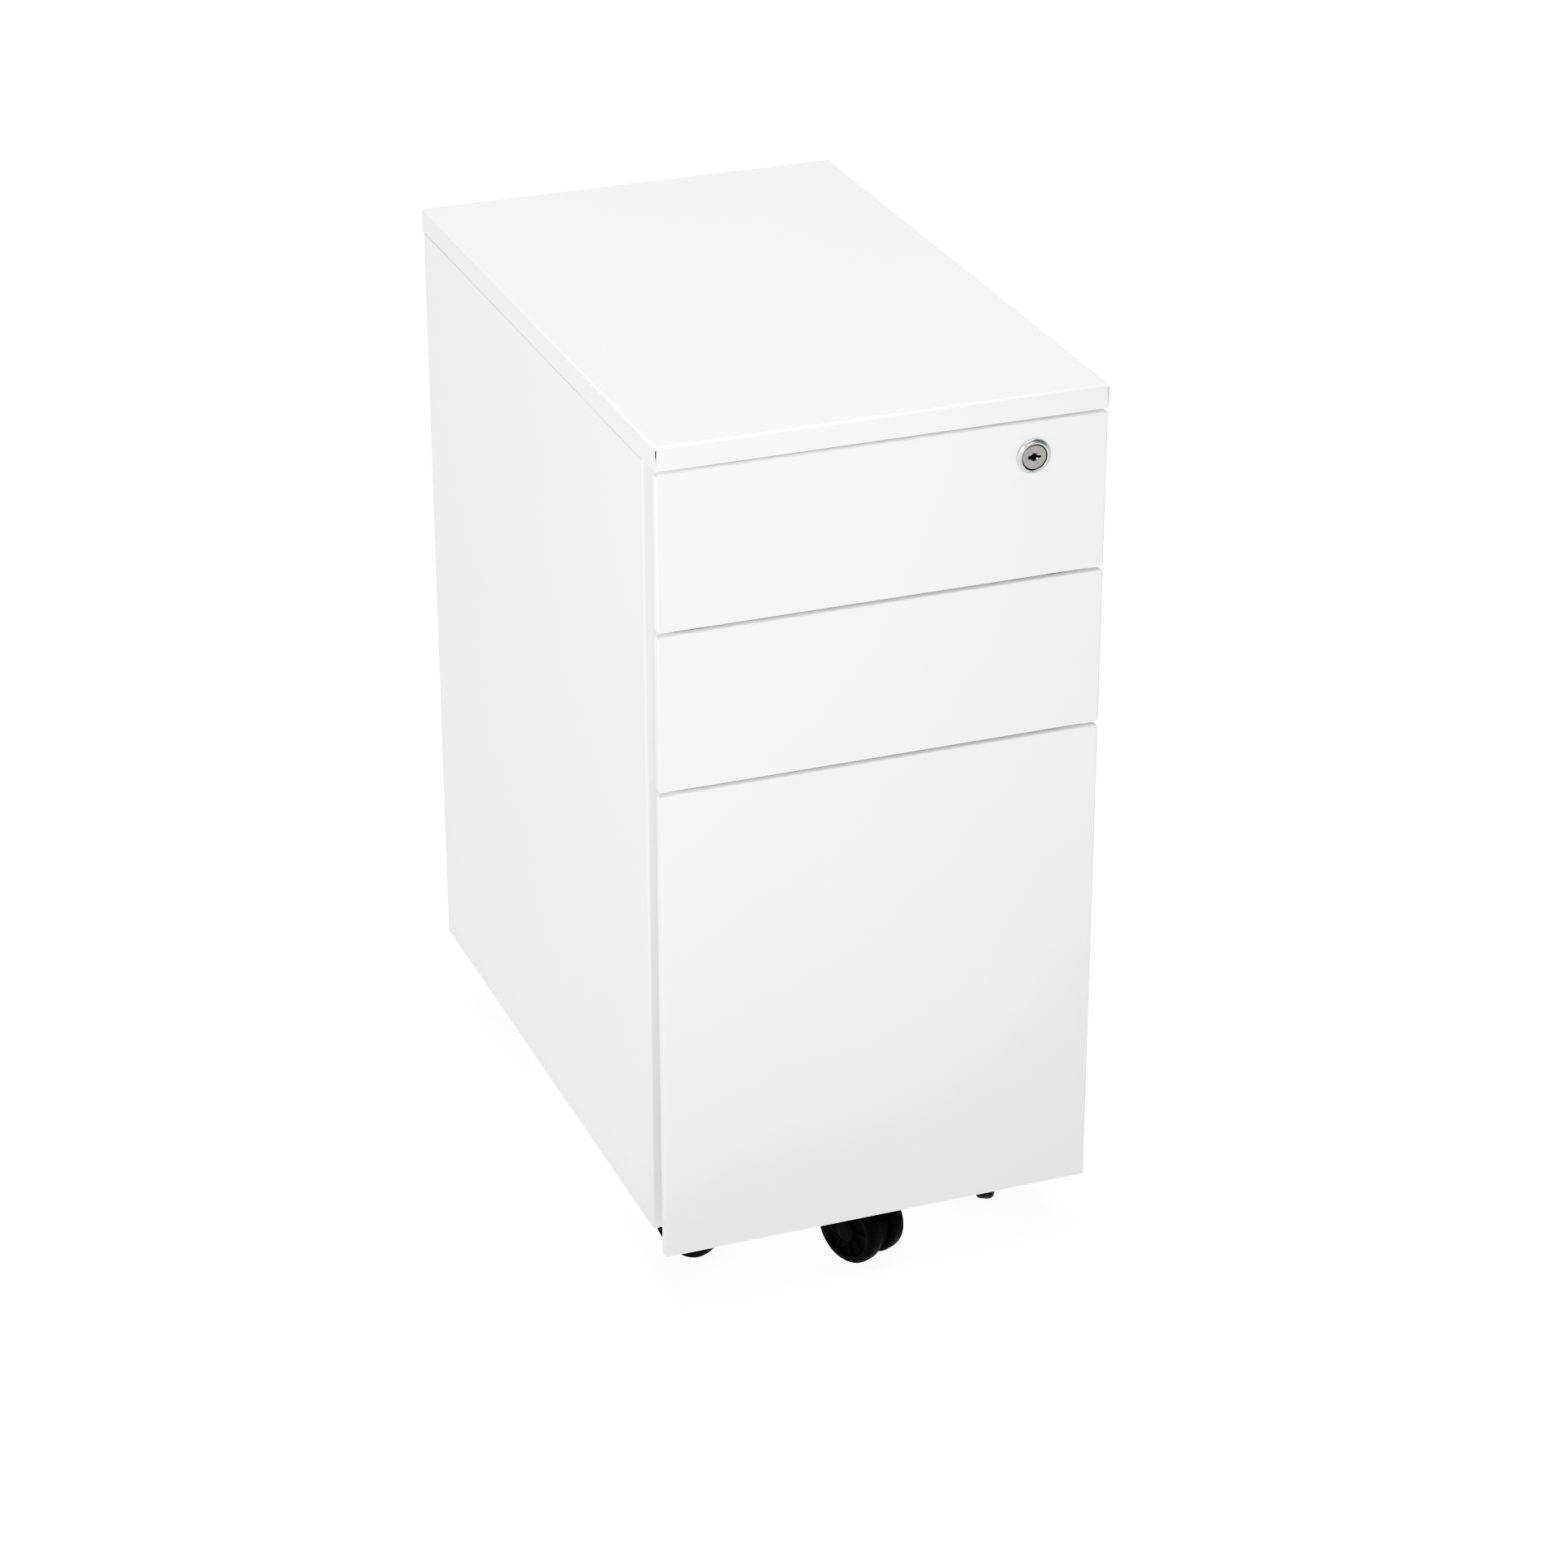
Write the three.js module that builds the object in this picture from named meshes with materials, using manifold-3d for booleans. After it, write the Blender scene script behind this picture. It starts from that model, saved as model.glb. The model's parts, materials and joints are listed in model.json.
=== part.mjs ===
// A slim three-drawer pedestal cabinet of folded sheet steel on castors, in millimetres.
// X runs to the right, the drawer fronts face -Y and Z is up.
// The origin lies on the floor, under the middle of the cabinet.
import * as THREE from 'three';
import { mergeVertices } from 'three/addons/utils/BufferGeometryUtils.js';
import Module from 'manifold-3d';

const wasm = await Module();
wasm.setup();

// ---- driving dimensions -------------------------------------------------------------------

const WIDTH = 300;
const DEPTH = 476;
const HEIGHT = 615;
const SHEET = 1;
const BEND = 2;
const BEND_STEPS = 4;
const GAP = 0.3;
// Corners lie on a grid of this many steps to a millimetre.
const GRID = 256;
// A cutting piece runs this far past the metal.
const PAST = 1;

// The cover is a folded lid that lies on the carcass.
const COVER_FLANGE = 15.9;
const COVER_HEM = 10;
const CORNER_SLIT = 1.3;

// The carcass stands back behind the drawer fronts, which leaves the finger gaps.
const FINGER_GAP = 23.8;
const CARCASS_BOTTOM = 56.1;
const BASE_LEVEL = 60;
const BASE_FLANGE = 14;
const POST_WIDTH = 19;
const POST_RETURN = 36;
const SIDE_RETURN = 15;
const BOTTOM_RETURN = 10;
const BACK_INSET = 1.5;
const BACK_SHELF = 14;
const BACK_SHELF_LIP = 10;
const FRAME_INSET = 2.2;
const BASE_BACK_INSET = 3;
const BASE_FRONT_LIP = 3;
const BASE_NOTCH_HALF = 30;
const BASE_NOTCH_BACK = -165;
const KINGPIN_HOLE = 5;
const RAIL_DEPTH = 20;
const RAIL_FRONT_FLANGE = 10;
const RAIL_BACK_FLANGE = 8;
const UPRIGHT_Y = [170, 200];

// Drawer fronts.
const FRONT_WIDTH = 299.6;
const FRONT_EDGE = 5;
const FRONT_HEM = 15;
const FRONT_CORNER = 3;
const FRONT_SPACER = 21.7;
const FRONT_SPACER_HALF = 112;
const TOP_LIP = 12;
const BOTTOM_LIP = 30;
const FILE_BOTTOM_LIP = 38;
const CASTOR_CLEARANCE_HALF = 50;
const CASTOR_CLEARANCE = 40;
const RELIEF_HOLE = 0.5;
const RELIEF_INSET = 1.1;
const RELIEF_DEPTH = 1.8;

// Drawer trays, between the runners.
const TRAY_HALF = 118;
const TRAY_BACK = 190;
const TRAY_HEM = 6;

// Runners fill the space between a tray and the carcass posts.
const RUNNER_INSIDE = 118.3;
const RUNNER_OUTSIDE = 130.7;
const RUNNER_FRONT = -199;
const RUNNER_BACK = 190;
const RUNNER_SHEET = 1.2;

// Each member of a runner: X of its web, X of its lips and half its height.
const SHORT_RUNNER = {
  outer: [RUNNER_OUTSIDE, 122.5, 17.5],
  inner: [RUNNER_INSIDE, 127, 12],
};
const LONG_RUNNER = {
  outer: [RUNNER_OUTSIDE, 121, 23],
  middle: [127.4, 120.4, 18],
  inner: [RUNNER_INSIDE, 125, 12.5],
};

// Heights of each drawer's front, tray, runner and locking lug.
const DRAWERS = [
  { name: 'top', front: [492.1, 597.4], tray: [500, 560], runner: 520, lug: 550 },
  { name: 'middle', front: [383.8, 490.1], tray: [392, 470], runner: 412, lug: 450 },
  { name: 'file', front: [46.7, 381.8], tray: [64, 330], runner: 150, lug: 300 },
];

// Bars across the file drawer: half the thickness of a bar, and half the width of its feet.
const FILE_RAIL_Y = [-203, 180];
const FILE_RAIL_HEIGHT = 16;
const FILE_RAIL_HALF = 1;
const FILE_RAIL_FOOT = 7;

// Lock: a cam on the top drawer lifts a bar on the right-hand post.
const LOCK_X = 98.9;
const LOCK_Z = 574.3;
const LOCK_BARREL = 9.4;
const LOCK_HOLE = 9.7;
const PLUG_RADIUS = 8.1;
const PLUG_BORE = 8.5;
const PLUG_FACE = 2.3;
const PLUG_CHAMFER = 0.4;
const KEYWAY_HALF = 4.2;
const KEYWAY_HALF_HEIGHT = 0.9;
const KEYWAY_ROUND = 2.1;
const KEYWAY_DEPTH = 5;
const BARREL_LENGTH = 24.6;
const PLUG_LENGTH = 25.2;
const STUB_RADIUS = 2.9;
const STUB_END = 29.2;
const CAM_FRONT = 26.5;
const CAM_SHEET = 2;
const CAM_REACH = 12;
const CAM_TIP = 2.5;
const CAM_HUB = 4.6;
const CAM_REST_ANGLE = -Math.PI / 4;
const BAR_LIFT = 2 * CAM_REACH * Math.sin(Math.PI / 4);
const BAR_FRONT = -212.8;
const BAR_BACK = -201;
const BAR_X = [128.5, 130.5];
const SHELF_END = 109.9;
const SHELF_SHEET = 1.5;
const SHELF_DEPTH = 6;
const SHELF_CLEARANCE = 0.7;
const BAR_BOTTOM = 272;
const LUG_SIZE = 8;
const LUG_Y = [-205, -203];
const TAB_Y = [-207.5, -205.5];
const TAB_START = 119.6;
const TAB_HEIGHT = 12;
const TAB_CLEARANCE = 2;
const STUD_HEIGHTS = [352, 506];
const STUD_Y = -206.9;
const STUD_RADIUS = 2.5;
const STUD_HEAD = 4.1;
const STUD_HEAD_HEIGHT = 1.2;

// Castors: twin wheels under a hood that swivels on a kingpin.
const WHEEL_RADIUS = 25;
const WHEEL_FACES = [5, 17];
const TRAIL = 16;
const WEB_HALF = 4.7;
const HOOD_INSIDE = 26.5;
const HOOD_OUTSIDE = 28.5;
const HOOD_HALF = 17.5;
const HOOD_ARC = [-12, 150];
const COLLAR_RADIUS = 11;
const COLLAR_BOTTOM = 44;
const COLLAR_TOP = 57.1;
const WEB_RADIUS = 21;
const PLATE_HALF = 19;
const PLATE_SHEET = 2.3;
const PLATE_HOLE = 2.2;
const PLATE_HOLE_INSET = 5;
const AXLE_RADIUS = 3;
const KINGPIN_RADIUS = 3;
const KINGPIN_END = 36.5;
const TREAD_STEPS = 24;
const ROUND_STEPS = 20;
const HOOD_STEPS = 14;
const SMALL_STEPS = 12;
const HOLE_STEPS = 8;
const CASTORS = [
  { name: 'front_left', at: [-108, -147], turn: 32 },
  { name: 'front_right', at: [108, -147], turn: -28 },
  { name: 'rear_left', at: [-108, 180], turn: 44 },
  { name: 'rear_right', at: [108, 180], turn: 14 },
];
const ANTI_TIP = { name: 'anti_tip', at: [-6, -193], turn: 25, raise: 0.4 };
const BRACKET_HALF = 22;
const BRACKET_SHEET = 2;
const BRACKET_BEND = 4;
const BRACKET_RISE = 43;
const BRACKET_HOLE = 4.5;

// ---- values worked out from them ----------------------------------------------------------

const FRONT = -DEPTH / 2;
const BACK = DEPTH / 2;
const SIDE = WIDTH / 2;
const CARCASS_FRONT = FRONT + FINGER_GAP;
const POST_X = SIDE - POST_WIDTH;
const TRAY_FRONT = FRONT + FRONT_SPACER + GAP;
const PLATE_TOP = BASE_LEVEL - GAP;
const FRAME_TOP = HEIGHT - COVER_FLANGE - GAP;
const CARCASS_TOP = FRAME_TOP;
const FRAME_FRONT = CARCASS_FRONT + FRAME_INSET;
const FRAME_SIDE = SIDE - SHEET - GAP;
const degrees = (value) => (value * Math.PI) / 180;
const ordered = (a, b) => [Math.min(a, b), Math.max(a, b)];

// ---- finishes -----------------------------------------------------------------------------

const finish = (color, roughness, metalness) => () =>
  new THREE.MeshStandardMaterial({ color, roughness, metalness });
const POWDER_COAT = finish(0xf1f1ef, 0.45, 0);
const ZINC = finish(0xb4b8bc, 0.35, 0.9);
const BLACK_NYLON = finish(0x151515, 0.55, 0);
const CHROME = finish(0xd9dcdf, 0.12, 1);
const SATIN_STEEL = finish(0xb9b7b2, 0.32, 1);

// ---- solids -------------------------------------------------------------------------------

// Turns a closed three.js geometry into a solid that can be joined and cut. Its corners are put
// on a fine grid, so that faces that lie in one plane meet exactly.
function solid(geometry) {
  geometry.deleteAttribute('normal');
  geometry.deleteAttribute('uv');
  const places = geometry.attributes.position.array;
  places.forEach((value, i) => {
    places[i] = Math.round(value * GRID) / GRID;
  });
  const merged = mergeVertices(geometry, 1e-4);
  const corners = merged.index.array;
  const kept = [];
  for (let i = 0; i < corners.length; i += 3) {
    const [a, b, c] = [corners[i], corners[i + 1], corners[i + 2]];
    if (a !== b && b !== c && c !== a) kept.push(a, b, c);
  }
  return new wasm.Manifold(new wasm.Mesh({
    numProp: 3,
    vertProperties: new Float32Array(merged.attributes.position.array),
    triVerts: new Uint32Array(kept),
  }));
}

function geometryOf(body) {
  const mesh = body.getMesh();
  const geometry = new THREE.BufferGeometry();
  geometry.setAttribute('position', new THREE.BufferAttribute(mesh.vertProperties, 3));
  geometry.setIndex(new THREE.BufferAttribute(mesh.triVerts, 1));
  return geometry;
}

const join = (first, ...others) => others.reduce((body, other) => body.add(other), first);
const cut = (first, ...others) => others.reduce((body, other) => body.subtract(other), first);

function box(x, y, z) {
  const geometry = new THREE.BoxGeometry(x[1] - x[0], y[1] - y[0], z[1] - z[0]);
  geometry.translate((x[0] + x[1]) / 2, (y[0] + y[1]) / 2, (z[0] + z[1]) / 2);
  return solid(geometry);
}

// Extrudes an outline along an axis. It is drawn in the other two axes, in the order x, y, z.
function prism(axis, outline, from, to) {
  const shape = new THREE.Shape(outline.map(([u, v]) => new THREE.Vector2(u, v)));
  const geometry = new THREE.ExtrudeGeometry(shape, { depth: to - from, bevelEnabled: false });
  const [x, y, z] = [[1, 0, 0], [0, 1, 0], [0, 0, 1]].map((v) => new THREE.Vector3(...v));
  const turn = new THREE.Matrix4();
  if (axis === 'x') turn.makeBasis(y, z, x).setPosition(from, 0, 0);
  if (axis === 'y') turn.makeBasis(x, z, y.clone().negate()).setPosition(0, to, 0);
  if (axis === 'z') turn.setPosition(0, 0, from);
  return solid(geometry.applyMatrix4(turn));
}

// A cylinder along an axis, centred on a point of the other two axes.
function rod(axis, [u, v], radius, from, to, steps = SMALL_STEPS) {
  const geometry = new THREE.CylinderGeometry(radius, radius, to - from, steps);
  const middle = (from + to) / 2;
  if (axis === 'x') geometry.rotateZ(-Math.PI / 2).translate(middle, u, v);
  if (axis === 'y') geometry.translate(u, middle, v);
  if (axis === 'z') geometry.rotateX(Math.PI / 2).translate(u, v, middle);
  return solid(geometry);
}

// A turned piece about Z. The profile lists [radius, height] with the metal on its left.
function turned(profile, steps = ROUND_STEPS) {
  const points = profile.map(([r, h]) => new THREE.Vector2(r, h));
  const geometry = new THREE.LatheGeometry(points, steps);
  return solid(geometry.rotateX(Math.PI / 2));
}

function ring(profile, steps) {
  return turned([...profile, profile[0]], steps);
}

// The same piece on the other side of the middle plane.
function mirrored(body) {
  const { vertProperties, triVerts } = body.getMesh();
  const flipped = vertProperties.map((value, i) => (i % 3 === 0 ? -value : value));
  return new wasm.Manifold(new wasm.Mesh({
    numProp: 3,
    vertProperties: flipped,
    triVerts: triVerts.slice().reverse(),
  }));
}

function arc([u, v], radius, from, to, steps) {
  return Array.from({ length: steps + 1 }, (_, i) => {
    const angle = from + ((to - from) * i) / steps;
    return [u + radius * Math.cos(angle), v + radius * Math.sin(angle)];
  });
}

// Outline of a bent sheet. The line is one face of it, and the sheet lies to the line's left.
function bentSheet(line, thickness = SHEET, bend = BEND) {
  const near = [];
  const far = [];
  line.forEach(([u, v], i) => {
    const point = new THREE.Vector2(u, v);
    const toNext = (a, b) => new THREE.Vector2(...b).sub(new THREE.Vector2(...a)).normalize();
    const before = i > 0 ? toNext(line[i - 1], line[i]) : toNext(line[0], line[1]);
    const after = i < line.length - 1 ? toNext(line[i], line[i + 1]) : before;
    const turn = Math.atan2(before.cross(after), before.dot(after));
    const left = new THREE.Vector2(-before.y, before.x);
    if (Math.abs(turn) < 1e-6) {
      near.push([point.x, point.y]);
      far.push([point.x + left.x * thickness, point.y + left.y * thickness]);
      return;
    }
    const side = Math.sign(turn);
    const nearRadius = side > 0 ? bend : bend - thickness;
    const farRadius = side > 0 ? bend - thickness : bend;
    const centre = point.clone()
      .addScaledVector(before, -nearRadius * Math.tan(Math.abs(turn) / 2))
      .addScaledVector(left, side * nearRadius);
    const start = Math.atan2(-side * left.y, -side * left.x);
    near.push(...arc([centre.x, centre.y], nearRadius, start, start + turn, BEND_STEPS));
    far.push(...arc([centre.x, centre.y], farRadius, start, start + turn, BEND_STEPS));
  });
  return [...near, ...far.reverse()];
}

// A block outline with the two corners at its face rounded; `open` is the far side's level.
function facedBlock(from, to, face, open, radius) {
  const inward = Math.sign(open - face);
  const level = face + inward * radius;
  const corner = (u, side) => {
    const round = Array.from({ length: BEND_STEPS + 1 }, (_, i) => {
      const angle = (Math.PI / 2) * (i / BEND_STEPS);
      return [u + side * radius * Math.cos(angle), level - inward * radius * Math.sin(angle)];
    });
    return side > 0 ? round.reverse() : round;
  };
  return [[from, open], ...corner(from + radius, -1), ...corner(to - radius, 1), [to, open]];
}

// A folded pan: a flat face with a flange all round and a bend along each edge.
// `axis` is the way that the face looks, `face` its level and `open` the flanges' ends.
function pan(axis, spans, face, open, thickness = SHEET, bend = BEND) {
  const across = ['x', 'y', 'z'].filter((name) => name !== axis);
  const block = (grow, radius, level, end) => across.map((extruded, i) => {
    const drawn = across[1 - i];
    const [from, to] = spans[drawn];
    const outline = facedBlock(from + grow, to - grow, level, end, radius);
    const swap = axis < drawn;
    const placed = swap ? outline.map(([u, v]) => [v, u]) : outline;
    const [start, stop] = spans[extruded];
    return prism(extruded, placed, start + grow, stop - grow);
  }).reduce((one, other) => one.intersect(other));
  const inward = Math.sign(open - face);
  const outer = block(0, bend, face, open);
  const hollow = block(thickness, bend - thickness, face + inward * thickness, open + inward);
  return outer.subtract(hollow);
}

// ---- scene graph --------------------------------------------------------------------------

const cabinet = new THREE.Group();

function add(name, body, material, parent = cabinet) {
  const mesh = new THREE.Mesh(geometryOf(body), material());
  mesh.name = name;
  parent.add(mesh);
  return mesh;
}

function addPair(name, right, material) {
  add(`${name}_right`, right, material);
  add(`${name}_left`, mirrored(right), material);
}

// ---- carcass ------------------------------------------------------------------------------

function topCover() {
  const bottom = HEIGHT - COVER_FLANGE;
  const lid = pan('z', { x: [-SIDE, SIDE], y: [FRONT, BACK] }, HEIGHT, bottom);
  const edge = SHEET / 2;
  const hem = cut(
    box([edge - SIDE, SIDE - edge], [FRONT + edge, BACK - edge], [bottom, bottom + SHEET]),
    box(
      [COVER_HEM - SIDE, SIDE - COVER_HEM],
      [FRONT + COVER_HEM, BACK - COVER_HEM],
      [bottom - PAST, bottom + SHEET + PAST],
    ),
  );
  // The flanges meet at open folded corners: a slit that narrows towards the bottom.
  const slits = [-1, 1].flatMap((side) => [FRONT, BACK].map((level) => {
    const x = side * (SIDE - SHEET);
    const outline = [
      [x - CORNER_SLIT / 2, HEIGHT - BEND],
      [x, bottom + 2 * SHEET],
      [x + CORNER_SLIT / 2, HEIGHT - BEND],
    ];
    const through = 1.2 * SHEET;
    return prism('y', outline, level - through, level + through);
  }));
  return cut(join(lid, hem), ...slits);
}

// One side of the carcass: the panel, its returns and the front post they fold into.
function sidePanel() {
  const back = BACK - SHEET - GAP;
  const behindPost = [CARCASS_FRONT + BEND, BACK];
  const panel = cut(
    pan('x', { y: [CARCASS_FRONT, back], z: [CARCASS_BOTTOM, CARCASS_TOP] }, SIDE, POST_X),
    box([POST_X - PAST, SIDE - SIDE_RETURN], [back - 2 * BEND, back + PAST], [0, HEIGHT]),
    box([POST_X - PAST, SIDE - SIDE_RETURN], behindPost, [CARCASS_TOP - BEND, HEIGHT]),
    box([POST_X - PAST, SIDE - BOTTOM_RETURN], behindPost, [0, CARCASS_BOTTOM + BEND]),
  );
  const inner = box(
    [POST_X, POST_X + SHEET],
    [CARCASS_FRONT, CARCASS_FRONT + POST_RETURN],
    [BASE_LEVEL + BASE_FLANGE + SHEET, CARCASS_TOP],
  );
  return join(panel, inner);
}

// Shouldered studs on the right-hand post, which the lock bar slides on.
function lockStuds() {
  const head = BAR_X[0] - GAP;
  return STUD_HEIGHTS.flatMap((z) => [
    rod('x', [STUD_Y, z], STUD_RADIUS, head - STUD_HEAD_HEIGHT / 2, POST_X + SHEET / 2),
    rod('x', [STUD_Y, z], STUD_HEAD, head - STUD_HEAD_HEIGHT, head),
  ]);
}

// The plain back sheet, with a shelf folded in at its top that carries the back of the cover.
function backPanel() {
  const half = SIDE - BACK_INSET;
  const inside = POST_X - SHEET;
  const shelf = BACK - BACK_SHELF;
  return join(
    box([-half, half], [BACK - SHEET, BACK], [CARCASS_BOTTOM + SHEET, FRAME_TOP]),
    box([-inside, inside], [shelf, BACK - SHEET / 2], [FRAME_TOP - SHEET, FRAME_TOP]),
    box([-inside, inside], [shelf, shelf + SHEET], [FRAME_TOP - BACK_SHELF_LIP, FRAME_TOP]),
  );
}

function basePan() {
  const spans = { x: [-FRAME_SIDE, FRAME_SIDE], y: [FRAME_FRONT, BACK - BASE_BACK_INSET] };
  const top = BASE_LEVEL + BASE_FLANGE;
  const holes = CASTORS.map(({ at }) =>
    rod('z', at, KINGPIN_HOLE, BASE_LEVEL - PAST, BASE_LEVEL + SHEET + PAST));
  return cut(
    pan('z', spans, BASE_LEVEL, top),
    box([-BASE_NOTCH_HALF, BASE_NOTCH_HALF], [FRONT, BASE_NOTCH_BACK], [BASE_LEVEL - PAST, top + PAST]),
    // The front flange stays below the trays.
    box([-SIDE, SIDE], [FRONT, FRAME_FRONT + 3 * SHEET], [BASE_LEVEL + BASE_FRONT_LIP, top + PAST]),
    ...holes,
  );
}

// The channel across the top of the opening, which carries the front of the cover.
function frontRail() {
  const back = FRAME_FRONT + RAIL_DEPTH;
  const line = [
    [back, FRAME_TOP - RAIL_BACK_FLANGE],
    [back, FRAME_TOP],
    [FRAME_FRONT, FRAME_TOP],
    [FRAME_FRONT, FRAME_TOP - RAIL_FRONT_FLANGE],
  ];
  return prism('x', bentSheet(line), -RUNNER_OUTSIDE, RUNNER_OUTSIDE);
}

// Channel posts at the back, which the runners are screwed to.
function rearUpright() {
  const [front, back] = UPRIGHT_Y;
  const line = [[FRAME_SIDE, back], [POST_X, back], [POST_X, front], [FRAME_SIDE, front]];
  return prism('z', bentSheet(line), BASE_LEVEL + BASE_FLANGE + GAP, CARCASS_TOP - SHEET - GAP);
}

// ---- runners ------------------------------------------------------------------------------

// A runner member is a channel: `web` and `lips` are the X of its back and of its open side.
function runnerMember(web, lips, half, level) {
  const line = web > lips
    ? [[lips, level - half], [web, level - half], [web, level + half], [lips, level + half]]
    : [[lips, level + half], [web, level + half], [web, level - half], [lips, level - half]];
  return prism('y', bentSheet(line, RUNNER_SHEET), RUNNER_FRONT, RUNNER_BACK);
}

function addRunners({ name, runner }) {
  const members = name === 'file' ? LONG_RUNNER : SHORT_RUNNER;
  Object.entries(members).forEach(([member, [web, lips, half]]) => {
    addPair(`runner_${member}_${name}`, runnerMember(web, lips, half, runner), ZINC);
  });
}

// ---- drawers ------------------------------------------------------------------------------

function roundedFace(half, [bottom, top], radius) {
  const quarter = Math.PI / 2;
  const corner = (x, z, from) => arc([x, z], radius, from, from + quarter, BEND_STEPS);
  const outline = [
    ...corner(half - radius, bottom + radius, -quarter),
    ...corner(half - radius, top - radius, 0),
    ...corner(radius - half, top - radius, quarter),
    ...corner(radius - half, bottom + radius, 2 * quarter),
  ];
  return prism('y', outline, FRONT - PAST, FRONT + FRONT_EDGE + PAST);
}

// A drawer front: a pan with hemmed sides, and flanges that reach back to the tray.
function drawerFront({ name, front }) {
  const half = FRONT_WIDTH / 2;
  const [bottom, top] = front;
  const edge = FRONT + FRONT_EDGE;
  const face = pan('y', { x: [-half, half], z: front }, FRONT, edge)
    .intersect(roundedFace(half, front, FRONT_CORNER));
  const within = [bottom + SHEET / 2, top - SHEET / 2];
  const sideHems = [-1, 1].map((side) => {
    const ends = ordered(side * (half - FRONT_HEM), side * (half - SHEET / 2));
    return box(ends, [edge - SHEET, edge], [within[0] + FRONT_CORNER, within[1] - FRONT_CORNER]);
  });
  const reach = [FRONT + BEND, FRONT + FRONT_SPACER];
  const lipY = [reach[1] - SHEET, reach[1]];
  const span = [-FRONT_SPACER_HALF, FRONT_SPACER_HALF];
  const bottomLip = name === 'file' ? FILE_BOTTOM_LIP : BOTTOM_LIP;
  const flanges = [
    box(span, reach, [top - SHEET, top]),
    box(span, lipY, [top - TOP_LIP, top]),
    box(span, reach, [bottom, bottom + SHEET]),
    box(span, lipY, [bottom, bottom + bottomLip]),
  ];
  const relief = [-1, 1].map((side) => {
    const place = [side * (half - RELIEF_INSET), top - RELIEF_INSET];
    return rod('y', place, RELIEF_HOLE, FRONT - PAST, FRONT + RELIEF_DEPTH, HOLE_STEPS);
  });
  const piece = cut(join(face, ...sideHems, ...flanges), ...relief);
  if (name === 'top') {
    const through = FRONT + SHEET + PAST;
    return cut(piece, rod('y', [LOCK_X, LOCK_Z], LOCK_HOLE, FRONT - PAST, through, ROUND_STEPS));
  }
  if (name === 'file') {
    // The anti-tip castor swings under the middle of the front, so its flange stops short there.
    const room = [-CASTOR_CLEARANCE_HALF, CASTOR_CLEARANCE_HALF].map((x) => ANTI_TIP.at[0] + x);
    return cut(piece, box(room, [edge, CARCASS_FRONT], [bottom - PAST, bottom + CASTOR_CLEARANCE]));
  }
  return piece;
}

// A drawer tray: an open pan with hems along its sides and a lug for the lock bar.
function drawerTray({ tray, lug }) {
  const [bottom, top] = tray;
  const spans = { x: [-TRAY_HALF, TRAY_HALF], y: [TRAY_FRONT, TRAY_BACK] };
  const hems = [-1, 1].map((side) => {
    const ends = ordered(side * (TRAY_HALF - TRAY_HEM), side * (TRAY_HALF - SHEET / 2));
    const within = [TRAY_FRONT + SHEET / 2, TRAY_BACK - SHEET / 2];
    return box(ends, within, [top - SHEET, top]);
  });
  const catchLug = box([TRAY_HALF - SHEET / 2, TRAY_HALF + LUG_SIZE], LUG_Y, [lug, lug + LUG_SIZE]);
  return join(pan('z', spans, bottom, top), ...hems, catchLug);
}

// Flat bars across the file drawer, which the hanging files hook on. Each has a foot at both ends.
function addFileRails() {
  const { tray } = DRAWERS.find(({ name }) => name === 'file');
  const inside = TRAY_HALF - SHEET - GAP;
  const top = tray[1] - SHEET - GAP;
  const height = [top - FILE_RAIL_HEIGHT, top];
  ['front', 'rear'].forEach((name, i) => {
    const y = FILE_RAIL_Y[i];
    const bar = box([-inside, inside], [y - FILE_RAIL_HALF, y + FILE_RAIL_HALF], height);
    const feet = [-1, 1].map((side) => {
      const ends = ordered(side * inside, side * (inside - 2 * FILE_RAIL_HALF));
      return box(ends, [y - FILE_RAIL_FOOT, y + FILE_RAIL_FOOT], height);
    });
    add(`file_rail_${name}`, join(bar, ...feet), ZINC);
  });
}

function addDrawer(drawer) {
  add(`drawer_front_${drawer.name}`, drawerFront(drawer), POWDER_COAT);
  add(`drawer_tray_${drawer.name}`, drawerTray(drawer), POWDER_COAT);
  addRunners(drawer);
}

// ---- lock ---------------------------------------------------------------------------------

// Chromed barrel with a domed ring that rests on the drawer front.
function lockBarrel() {
  return ring([
    [PLUG_BORE, -BARREL_LENGTH], [LOCK_BARREL, -BARREL_LENGTH], [LOCK_BARREL, GAP],
    [11.3, GAP], [11.5, 0.8], [11.2, 1.5], [10.2, 2.2], [9.9, 2.9], [9.1, 2.9], [PLUG_BORE, 2.6],
  ]);
}

function lockPlug() {
  const plug = turned([
    [0, -STUB_END], [STUB_RADIUS, -STUB_END],
    [STUB_RADIUS, -PLUG_LENGTH], [PLUG_RADIUS, -PLUG_LENGTH],
    [PLUG_RADIUS, PLUG_FACE - PLUG_CHAMFER], [PLUG_RADIUS - PLUG_CHAMFER, PLUG_FACE],
    [0, PLUG_FACE],
  ]);
  const keyway = [PLUG_FACE - KEYWAY_DEPTH, PLUG_FACE + PAST];
  return cut(
    plug,
    box([-KEYWAY_HALF, KEYWAY_HALF], [-KEYWAY_HALF_HEIGHT, KEYWAY_HALF_HEIGHT], keyway),
    rod('z', [0, 0], KEYWAY_ROUND, ...keyway),
  );
}

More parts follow.
